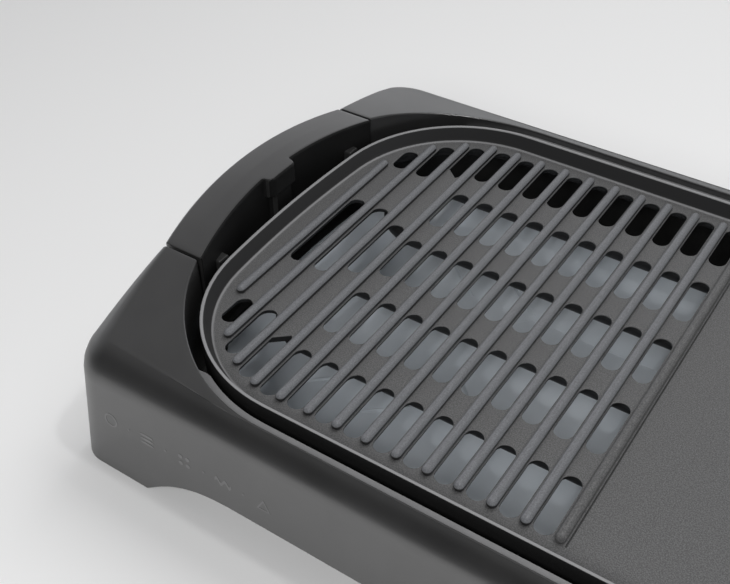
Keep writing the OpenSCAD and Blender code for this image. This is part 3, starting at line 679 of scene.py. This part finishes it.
def make_tray(material):
    def at(inset, down, z):
        """The tray's outline drawn in from its rim and a share of the way down its walls."""
        gx = -tray_end_gap - inset - down * tray_end_slope
        gy = -tray_gap - inset - down * tray_slope
        return [(x, y, z) for x, y in around([plan_point(x, y, gx, gy) for x, y in housing_quarter(0, 0)])]

    # Inset, share of the way down and height: under the floor, up the outside, over the rim and down
    profile = (
        (4.2, 1.13, tray_floor - 1), (4.2, 0.925, 24.9), (4.2, 0.82, 26.4), (4.2, 0, 39.8),
        (3.4, 0, tray_rim - 1), (0.2, 0, tray_rim - 1), (0, 0, 40.6), (0, 0, 41.3), (0.3, 0, tray_rim),
        (3.2, 0, tray_rim), (4.3, 0, 41.2), (tray_lip, 0, 40.4), (tray_lip, 0.825, 27),
        (tray_lip, 0.925, 25.7), (tray_lip, 1.08, tray_floor),
    )
    tray = loft("drip_tray_pressing", [at(*place) for place in profile])
    pressed = []
    # Two creases run from each corner of the floor to the low panel in the middle
    for sx in (-1, 1):
        for sy in (-1, 1):
            for x0, y0, x1, y1 in ((168, 72, 126, 36), (136, 78, 88, 40)):
                shares = (0, 0.06, 0.5, 0.94, 1)
                line = [(sx * (x0 + (x1 - x0) * t), sy * (y0 + (y1 - y0) * t)) for t in shares]
                pressed.append(crease("crease", line, 3, 0.9))
    panel = [(88, 37), (-88, 37), (-97, 28), (-97, -28), (-88, -37), (88, -37), (97, -28), (97, 28)]
    low = block_from_outline("panel", panel, tray_floor - 0.3, tray_floor + 1.1, 1.4)
    finish(join("tray_creases", pressed + [low]), "tray", material, (), 50)
    finish(tray, "tray", material, ["drip_tray"], 40)


def block_from_outline(name, outline, z0, z1, slope=0.0):
    """A flat block with the given outline, its top drawn in by a slope."""
    def drawn_in(d):
        inner = []
        for i, (x, y) in enumerate(outline):
            ring = []
            for (xa, ya), (xb, yb) in ((outline[i - 1], (x, y)), ((x, y), outline[(i + 1) % len(outline)])):
                long = math.hypot(xb - xa, yb - ya)
                ring.append((-(yb - ya) / long, (xb - xa) / long))
            (ax, ay), (bx, by) = ring
            k = d / (1 + ax * bx + ay * by)
            inner.append((x + (ax + bx) * k, y + (ay + by) * k))
        return inner
    rings = [[(x, y, z0) for x, y in outline], [(x, y, z1 - 0.2) for x, y in drawn_in(slope)]]
    rings.append([(x, y, z1) for x, y in drawn_in(slope + 0.5)])
    return loft(name, rings)


# Temperature control

def rounded_ring(inset, z):
    """Rounded outline of the control at a height."""
    hx, hy = control_w / 2 - inset, (control_y1 - control_y0) / 2 - inset
    r = max(0.5, control_round - inset)
    cy = (control_y0 + control_y1) / 2
    points = []
    for quarter, (sx, sy) in enumerate(((1, 1), (-1, 1), (-1, -1), (1, -1))):
        turns = [90 * quarter + 15 * i for i in range(7)]
        points += arc(control_x + sx * (hx - r), cy + sy * (hy - r), r, turns)
    return [(x, y, z) for x, y in points]


def round_tool(name, x, y, z, r, length, along="z"):
    """A round cutter that starts at a point and runs up, or back along Y."""
    turn = (-math.pi / 2, 0, 0) if along == "y" else (0, 0, 0)
    centre = (x, y + length / 2, z) if along == "y" else (x, y, z + length / 2)
    bpy.ops.object.select_all(action="DESELECT")
    bpy.ops.mesh.primitive_cylinder_add(
        vertices=48, radius=r * MM, depth=length * MM, location=in_place(*centre), rotation=turn)
    tool = bpy.context.object
    tool.name = name
    bpy.ops.object.transform_apply(location=True, rotation=True, scale=True)
    return tool


def control_holes():
    """Cutters for the pins, the probe, the earth blade and the lead."""
    y0, deep, blade_half = control_y0 - 1, 5, 4.2
    holes = ((-pin_reach, 3.5), (pin_reach, 3.5), (0, 3))
    tools = [round_tool("pin_hole", control_x + dx, y0, rod_z, r, deep, "y") for dx, r in holes]
    left, right = control_x - blade_half, control_x + blade_half
    tools.append(block("blade_hole", left, right, y0, y0 + deep, rod_z - 10, rod_z - 7))
    tools.append(round_tool("lead_hole", control_x, control_y1 - 3, rod_z, 5.6, deep, "y"))
    # Finger grooves in the sides
    groove_from, groove_pitch, groove_count = control_y0 + 20, 6.5, 6
    for i in range(groove_count):
        y = groove_from + groove_pitch * i
        for x in (control_x - control_w / 2, control_x + control_w / 2):
            tools.append(block("grip_groove", x - 0.8, x + 0.8, y - 1.3, y + 1.3, rod_z - 9, rod_z + 10))
    return tools


def make_control(material):
    z0, z1 = control_z0, control_z0 + control_h
    t, low_edge, high_edge = control_wall, 2.5, 3.5
    # Each shell runs up or down its inside, over the joint and along its outside to a rounded edge
    lower = [(t, z0 + t), (t, rod_z), (0.35, rod_z), (0.35, rod_z - 0.4)]
    lower += [(0, rod_z - 0.4), (0, z0 + low_edge)]
    lower += [(aside, z0 + down) for aside, down in rounding(low_edge, (30, 60, 90))]
    upper = [(t, z1 - t), (t, rod_z + 0.02), (0, rod_z + 0.02), (0, z1 - high_edge)]
    upper += [(aside, z1 - down) for aside, down in rounding(high_edge, (22, 45, 67, 90))]
    lower, upper = [[rounded_ring(inset, z) for inset, z in shell] for shell in (lower, upper)]
    low = loft("control_lower_moulding", lower)
    top = loft("control_upper_moulding", upper)
    carve(low, join("holes", control_holes()))
    tools = control_holes()
    for name, y, r in (("lens_hole", lens_y, 4.1), ("shaft_hole", dial_y, 3.1)):
        tools.append(round_tool(name, control_x, y, z1 - 4, r, 6))
    carve(top, join("holes", tools))
    finish(low, "control", material, ["control_lower_shell"], 40)
    finish(top, "control", material, ["control_upper_shell"], 40)


def dial_ring(r, z, flute=0.0):
    """Outline of the dial at a height, its edge scalloped by the flutes."""
    points = []
    steps = 8 * dial_flutes
    for i in range(steps):
        a = 2 * math.pi * i / steps
        dip = flute * max(0, math.cos(dial_flutes * a)) ** 2
        points.append((control_x + (r - dip) * math.cos(a), dial_y + (r - dip) * math.sin(a), z))
    return points


def make_dial(material, mark_material):
    z = control_z0 + control_h + 0.5
    # Radius, height over the dial's foot and depth of the flutes: round the skirt, up the knob to its top
    profile = (
        (20.4, 0, 0), (21, 0.6, 0), (21, 1.6, 0), (20.6, 2.4, 0), (19.6, 3, 0), (18.2, 3.3, 0),
        (17.6, 4, 0.8), (17.4, 5, 1.1), (17, 9, 1.1), (16.6, 10, 0.9), (15.9, 10.7, 0.4), (15, 11, 0),
        (14, 10.8, 0), (12, 10.75, 0), (3, 10.7, 0),
    )
    rings = [dial_ring(r, z + up, flute) for r, up, flute in profile]
    finish(loft("dial_moulding", rings), "dial", material, ["control_dial"], 40)
    # Plain strokes round the dial, growing wider as the heat goes up
    strokes = []
    inner, outer, stroke_turn = 21.8, 23.4, 27
    for i in range(dial_strokes):
        a = math.radians(-90 - stroke_turn * (i + 1))
        half = 0.25 + 0.045 * i
        outline = []
        for r, side in ((inner, 1), (outer, 1), (outer, -1), (inner, -1)):
            x = control_x + r * math.cos(a) - side * half * math.sin(a)
            outline.append((x, dial_y + r * math.sin(a) + side * half * math.cos(a)))
        strokes.append(block_from_outline("stroke", outline, z - 0.7, z - 0.3))
    finish(join("dial_scale", strokes), "control", mark_material)


# Feet and the printed row on the front

def make_feet(material):
    feet = []
    # Radius and height: from the hollow under the foot round its edge to the leg
    profile = ((5, 0.5), (5.6, 0), (8.2, 0), (8.8, 0.3), (9, 1), (9, 4))
    reach_x, reach_y = foot_x - 26, foot_y - 26
    for sx in (-1, 1):
        for sy in (-1, 1):
            discs = [(arc(sx * reach_x, sy * reach_y, r, range(0, 360, 9)), z) for r, z in profile]
            feet.append(loft("foot", [[(x, y, z) for x, y in disc] for disc, z in discs]))
    finish(join("foot_pads", feet), "housing", material, ["rubber_feet"])


def on_front(x, z, out):
    """A point on the front wall, moved out of it a little."""
    return x, -(foot_y - flare * z / crown) - out, z


def print_outline(outline, hole=None):
    """A thin printed patch on the front wall."""
    out, under = 0.1, -0.2
    rings = [[on_front(*p, under) for p in outline], [on_front(*p, out) for p in outline]]
    if not hole:
        return loft("print", rings)
    rings = rings[::-1] + [[on_front(*p, under) for p in hole], [on_front(*p, out) for p in hole]]
    return loft("print", rings, "loop")


def oval(x, z, rx, rz, count=24):
    """Points of an oval on the front wall."""
    turns = [2 * math.pi * i / count for i in range(count)]
    return [(x + rx * math.cos(a), z + rz * math.sin(a)) for a in turns]


def make_print(material):
    """A plain row of signs: a ring, three bars, four dots, a wave and a triangle, with dots between them."""
    marks = []
    z = print_z
    for i in range(5):
        x = print_from + print_pitch * i
        if i == 0:
            marks.append(print_outline(oval(x, z, 4.2, 4.2), oval(x, z, 3.3, 3.3)))
        elif i == 1:
            marks += [print_outline(oval(x, z + dz, 4.4, 0.8)) for dz in (-2.6, 0, 2.6)]
        elif i == 2:
            places = [(x + dx, z + dz) for dx in (-2.2, 2.2) for dz in (-2.2, 2.2)]
            marks += [print_outline(oval(*place, 1.3, 1.3)) for place in places]
        elif i == 3:
            steps = [j / 16 for j in range(17)]
            top = [(x - 5 + 10 * t, z + 1.1 + 1.5 * math.sin(4 * math.pi * t)) for t in steps]
            marks.append(print_outline(top + [(px, pz - 2.2) for px, pz in reversed(top)]))
        else:
            outer = [(x - 4, z - 3.2), (x + 4, z - 3.2), (x, z + 3.8)]
            inner = [(x + (px - x) * 0.66, z - 1 + (pz - z + 1) * 0.66) for px, pz in outer]
            marks.append(print_outline(outer, inner))
        if i:
            marks.append(print_outline(oval(x - print_pitch / 2, z, 0.7, 0.7, 12)))
    finish(join("printed_signs", marks), "housing", material)


# Materials

def new_material(name, colour, roughness, metallic=0.0, specular=0.5, ior=1.5):
    """A finish with one colour and roughness, to be varied by the functions below."""
    material = bpy.data.materials.new(name)
    material.use_nodes = True
    shader = material.node_tree.nodes["Principled BSDF"]
    shader.inputs["Base Color"].default_value = (*colour, 1)
    shader.inputs["Roughness"].default_value = roughness
    shader.inputs["Metallic"].default_value = metallic
    shader.inputs["Specular IOR Level"].default_value = specular
    shader.inputs["IOR"].default_value = ior
    return material


def map_range(tree, value, source, target=(0, 1), smooth=False):
    """Maps a value from one range to another, held at its ends; returns the result's socket."""
    span = tree.nodes.new("ShaderNodeMapRange")
    span.interpolation_type = "SMOOTHSTEP" if smooth else "LINEAR"
    for name, number in zip(("From Min", "From Max", "To Min", "To Max"), (*source, *target)):
        span.inputs[name].default_value = number
    tree.links.new(value, span.inputs["Value"])
    return span.outputs["Result"]


def multiply(tree, first, second):
    product = tree.nodes.new("ShaderNodeMath")
    product.operation = "MULTIPLY"
    tree.links.new(first, product.inputs[0])
    tree.links.new(second, product.inputs[1])
    return product.outputs["Value"]


def noise_at(material, scale, detail=3.0, stretch=(1, 1, 1)):
    """Noise on the piece's own place, stretched along an axis if asked."""
    tree = material.node_tree
    place = tree.nodes.new("ShaderNodeTexCoord")
    mapping = tree.nodes.new("ShaderNodeMapping")
    mapping.inputs["Scale"].default_value = stretch
    noise = tree.nodes.new("ShaderNodeTexNoise")
    noise.inputs["Scale"].default_value = scale
    noise.inputs["Detail"].default_value = detail
    tree.links.new(place.outputs["Object"], mapping.inputs["Vector"])
    tree.links.new(mapping.outputs["Vector"], noise.inputs["Vector"])
    return noise.outputs["Fac"]


def colour_by(material, fac, low, high, start=0.35, end=0.68):
    """Colours between low and high by a value; returns the colour's socket."""
    tree = material.node_tree
    ramp = tree.nodes.new("ShaderNodeValToRGB")
    ramp.color_ramp.elements[0].position, ramp.color_ramp.elements[1].position = start, end
    ramp.color_ramp.elements[0].color = (*low, 1)
    ramp.color_ramp.elements[1].color = (*high, 1)
    tree.links.new(fac, ramp.inputs["Fac"])
    tree.links.new(ramp.outputs["Color"], tree.nodes["Principled BSDF"].inputs["Base Color"])
    return ramp.outputs["Color"]


def bump_by(material, fac, strength, distance):
    """Fine relief by a value, over a distance in metres."""
    tree = material.node_tree
    bump = tree.nodes.new("ShaderNodeBump")
    bump.inputs["Strength"].default_value = strength
    bump.inputs["Distance"].default_value = distance
    tree.links.new(fac, bump.inputs["Height"])
    tree.links.new(bump.outputs["Normal"], tree.nodes["Principled BSDF"].inputs["Normal"])


def rough_by(material, fac, low, high):
    """Roughness that wanders between two values, as handling and mould marks leave it."""
    tree = material.node_tree
    roughness = map_range(tree, fac, (0.3, 0.7), (low, high))
    tree.links.new(roughness, tree.nodes["Principled BSDF"].inputs["Roughness"])


def satin_black(name, level, low, high, grain=0.04, specular=1.0):
    """Black heat-resistant plastic: satin, with a fine moulded grain and slightly uneven gloss."""
    material = new_material(name, (level, level, level * 1.02), low, 0, specular, 1.75)
    colour_by(material, noise_at(material, 40), (level * 0.85,) * 3, (level * 1.15,) * 3)
    rough_by(material, noise_at(material, 14), low, high)
    bump_by(material, noise_at(material, 2600), grain, 0.0001)
    return material


def coat(name, low, high, roughness, lines=()):
    """Non-stick coat on a casting: speckled, pebbly, with painted highlights and painted shade in bands at
    given heights.
    """
    material = new_material(name, high, roughness)
    tree = material.node_tree
    speck = noise_at(material, 1700, 4)
    colour = colour_by(material, speck, low, high, 0.38, 0.66)
    bump_by(material, speck, 0.25, 0.0003)
    place = tree.nodes.new("ShaderNodeTexCoord")
    split = tree.nodes.new("ShaderNodeSeparateXYZ")
    tree.links.new(place.outputs["Object"], split.inputs["Vector"])
    blend = 0.15
    # Places of a mix node's colour sockets, which share their names with its other ones
    colour_a, colour_b, colour_result = 6, 7, 2
    # Each band sets a flat level between two heights: a painted highlight where it is light, painted shade
    # where it is dark
    for z0, z1, light in lines:
        above = map_range(tree, split.outputs["Z"], (z0 * MM, (z0 + blend) * MM))
        below = map_range(tree, split.outputs["Z"], (z1 * MM, (z1 - blend) * MM))
        mix = tree.nodes.new("ShaderNodeMix")
        mix.data_type = "RGBA"
        mix.inputs[colour_b].default_value = (light, light, light * 1.02, 1)
        tree.links.new(multiply(tree, above, below), mix.inputs["Factor"])
        tree.links.new(colour, mix.inputs[colour_a])
        colour = mix.outputs[colour_result]
        tree.links.new(colour, tree.nodes["Principled BSDF"].inputs["Base Color"])
    return material


def metal(name, colour, roughness, brushed=(1, 1, 1)):
    """Bare metal with fine drawn lines and a little tarnish."""
    material = new_material(name, colour, roughness, 1.0)
    tarnish = noise_at(material, 60)
    colour_by(material, tarnish, tuple(c * 0.75 for c in colour), colour)
    lines = noise_at(material, 900, 2, brushed)
    bump_by(material, lines, 0.12, 0.0001)
    rough_by(material, tarnish, roughness, roughness + 0.15)
    return material


def pale(name, colour, roughness, grain):
    """A pale fired or printed surface with a fine tooth."""
    material = new_material(name, colour, roughness)
    colour_by(material, noise_at(material, 90), tuple(c * 0.9 for c in colour), colour)
    bump_by(material, noise_at(material, 1500), grain, 0.0002)
    return material


def dress(material, *names):
    """Gives CAD nodes a finish."""
    for name in names:
        node = nodes[name]
        if not node.material_slots:
            node.data.materials.append(material)
        for place in node.material_slots:
            place.material = material


# Camera and light

def set_camera():
    """The photograph's view: near the front, from above, towards the ribbed half."""
    lens = bpy.data.cameras.new("camera")
    camera = bpy.data.objects.new("camera", lens)
    bpy.context.scene.collection.objects.link(camera)
    place, turn = (80.85, -374.12, 427.6), (48.854, 0.791, 33.837)
    camera.location = in_place(*place)
    camera.rotation_euler = [math.radians(a) for a in turn]
    lens.lens, lens.sensor_width = 51.77, 36
    lens.clip_start = 0.01
    bpy.context.scene.camera = camera


def soft_lamp(name, place, target, size, watts):
    """An area lamp at a place in metres, turned to a target."""
    light = bpy.data.lights.new(name, "AREA")
    light.shape = "RECTANGLE"
    light.size, light.size_y = size
    light.energy = watts
    lamp = bpy.data.objects.new(name, light)
    bpy.context.scene.collection.objects.link(lamp)
    lamp.location = place
    lamp.rotation_euler = (Vector(target) - Vector(place)).to_track_quat("-Z", "Y").to_euler()
    return lamp


def set_light():
    """A studio that is bright at the back and near the horizon, and dark on the camera's side."""
    scene = bpy.context.scene
    scene.view_settings.view_transform = "Standard"
    world = bpy.data.worlds.new("studio")
    scene.world = world
    world.use_nodes = True
    tree = world.node_tree
    place = tree.nodes.new("ShaderNodeTexCoord")
    split = tree.nodes.new("ShaderNodeSeparateXYZ")
    ramp = tree.nodes.new("ShaderNodeValToRGB")
    stops = ramp.color_ramp.elements
    stops[0].position, stops[1].position = 0.0, 1.0
    stops[0].color, stops[1].color = (0.95, 0.97, 1, 1), (0.3, 0.3, 0.3, 1)
    for height, level in ((0.3, 0.78), (0.5, 0.46), (0.62, 0.34), (0.8, 0.2)):
        stops.new(height).color = (level, level, level * 1.02, 1)
    tree.links.new(place.outputs["Generated"], split.inputs["Vector"])
    tree.links.new(split.outputs["Z"], ramp.inputs["Fac"])
    # Dimmer in front and to the right
    front = map_range(tree, split.outputs["Y"], (-0.55, 0.05), (0.08, 1.0), True)
    right = map_range(tree, split.outputs["X"], (0.0, 0.6), (1.0, 0.35), True)
    tree.links.new(ramp.outputs["Color"], tree.nodes["Background"].inputs["Color"])
    tree.links.new(multiply(tree, front, right), tree.nodes["Background"].inputs["Strength"])
    # Two soft lamps light without showing as reflections; the small one makes the highlights
    soft_lamp("soft_lamp", (0.05, 0.9, 1.45), (0, 0, 0.05), (1.1, 1.1), 12).visible_glossy = False
    soft_lamp("fill_lamp", (0.4, -1.35, 1.25), (-0.05, 0, 0.05), (0.9, 0.9), 22).visible_glossy = False
    soft_lamp("highlight", (0.35, 0, 1.35), (-0.1, -0.05, 0.07), (0.09, 0.09), 2.2)


def add_floor():
    """A plain pale floor, which is not part of the object."""
    bpy.ops.object.select_all(action="DESELECT")
    bpy.ops.mesh.primitive_plane_add(size=8, location=(0, 0, 0))
    floor = bpy.context.object
    floor.name = "floor"
    floor.data.materials.append(new_material("floor_white", (0.86, 0.86, 0.86), 0.6))


set_camera()
set_light()

black_plastic = satin_black("black_plastic", 0.02, 0.33, 0.38)
handle_plastic = satin_black("handle_plastic", 0.022, 0.31, 0.36)
shaded_plastic = satin_black("shaded_plastic", 0.008, 0.5, 0.55, specular=0.15)
base_plastic = satin_black("base_plastic", 0.016, 0.45, 0.55, 0.15)
control_plastic = satin_black("control_plastic", 0.02, 0.38, 0.46, 0.12)
strip_grey = pale("ledge_strip", (0.24, 0.24, 0.244), 0.35, 0.05)
printed_grey = satin_black("printed_grey", 0.085, 0.33, 0.38)
scale_white = pale("scale_white", (0.7, 0.7, 0.7), 0.45, 0.05)
# Height bands of painted light in the coat: painted shade on the slot walls and heater ridge, painted
# highlights on the slot edges and a line at the foot of the rim, painted shade on the rim's slope, a painted
# highlight on its edge
painted_light_bands = (
    (54, 66.3, 0.012), (66.3, 66.95, 0.15), (67.05, 67.75, 0.2), (67.75, 74.9, 0.024), (74.9, 76, 0.26)
)
plate_coat = coat("plate_coat", (0.066, 0.066, 0.067), (0.14, 0.14, 0.141), 0.5, painted_light_bands)
# A near-black copy of the coat for the outside of the skirt: painted shade
painted_skirt_shade = coat("painted_skirt_shade", (0.008, 0.008, 0.008), (0.014, 0.014, 0.014), 0.5)
border_coat = coat("border_coat", (0.066, 0.066, 0.067), (0.14, 0.14, 0.141), 0.45)
# The ribs' coat is lighter and bluer than the deck's as a painted sheen, and its band low on the ribs paints
# shade along their feet and flanks
rib_coat = coat("rib_coat", (0.12, 0.123, 0.13), (0.18, 0.185, 0.197), 0.28, ((66, 69.2, 0.02),))
rubber = satin_black("rubber", 0.014, 0.6, 0.7, 0.3)
tray_metal = new_material("tray_metal", (0.5, 0.54, 0.58), 0.32)
colour_by(tray_metal, noise_at(tray_metal, 25), (0.46, 0.5, 0.54), (0.54, 0.58, 0.62))
rough_by(tray_metal, noise_at(tray_metal, 60), 0.28, 0.4)
steel = metal("drawn_steel", (0.55, 0.56, 0.58), 0.28, (1, 0.08, 1))
brass = metal("brass", (0.7, 0.55, 0.25), 0.3)
ceramic = pale("ceramic", (0.78, 0.75, 0.66), 0.6, 0.2)
amber = new_material("amber_lens", (0.9, 0.3, 0.04), 0.12)
colour_by(amber, noise_at(amber, 500), (0.8, 0.24, 0.03), (0.95, 0.36, 0.05))
bump_by(amber, noise_at(amber, 900), 0.05, 0.0001)
amber.node_tree.nodes["Principled BSDF"].inputs["Transmission Weight"].default_value = 0.35

dress(base_plastic, "base_pan")
dress(steel, "handle_screws", "base_screws", "heating_element", "terminal_pins", "terminal_guard",
      "guard_rivets", "earth_pin", "control_screws", "probe_rod", "contact_spring", "dial_shaft")
dress(ceramic, "pin_insulators", "socket_block", "thermostat_body")
dress(brass, "socket_contacts", "earth_contact", "bimetal_blade", "adjusting_screw")
dress(amber, "indicator_lamp", "indicator_lens")
dress(control_plastic, "cord_gland")
dress(scale_white, "dial_pointer")

make_housing(black_plastic)
make_ledges(strip_grey)
make_handle("left_handle_moulding", -1, "left_handle", handle_plastic, shaded_plastic)
make_handle("right_handle_moulding", 1, "right_handle", handle_plastic, shaded_plastic)
make_feet(rubber)
make_print(printed_grey)
make_plate(plate_coat, rib_coat, border_coat, painted_skirt_shade)
make_tray(tray_metal)
make_control(control_plastic)
make_dial(control_plastic, scale_white)
add_floor()
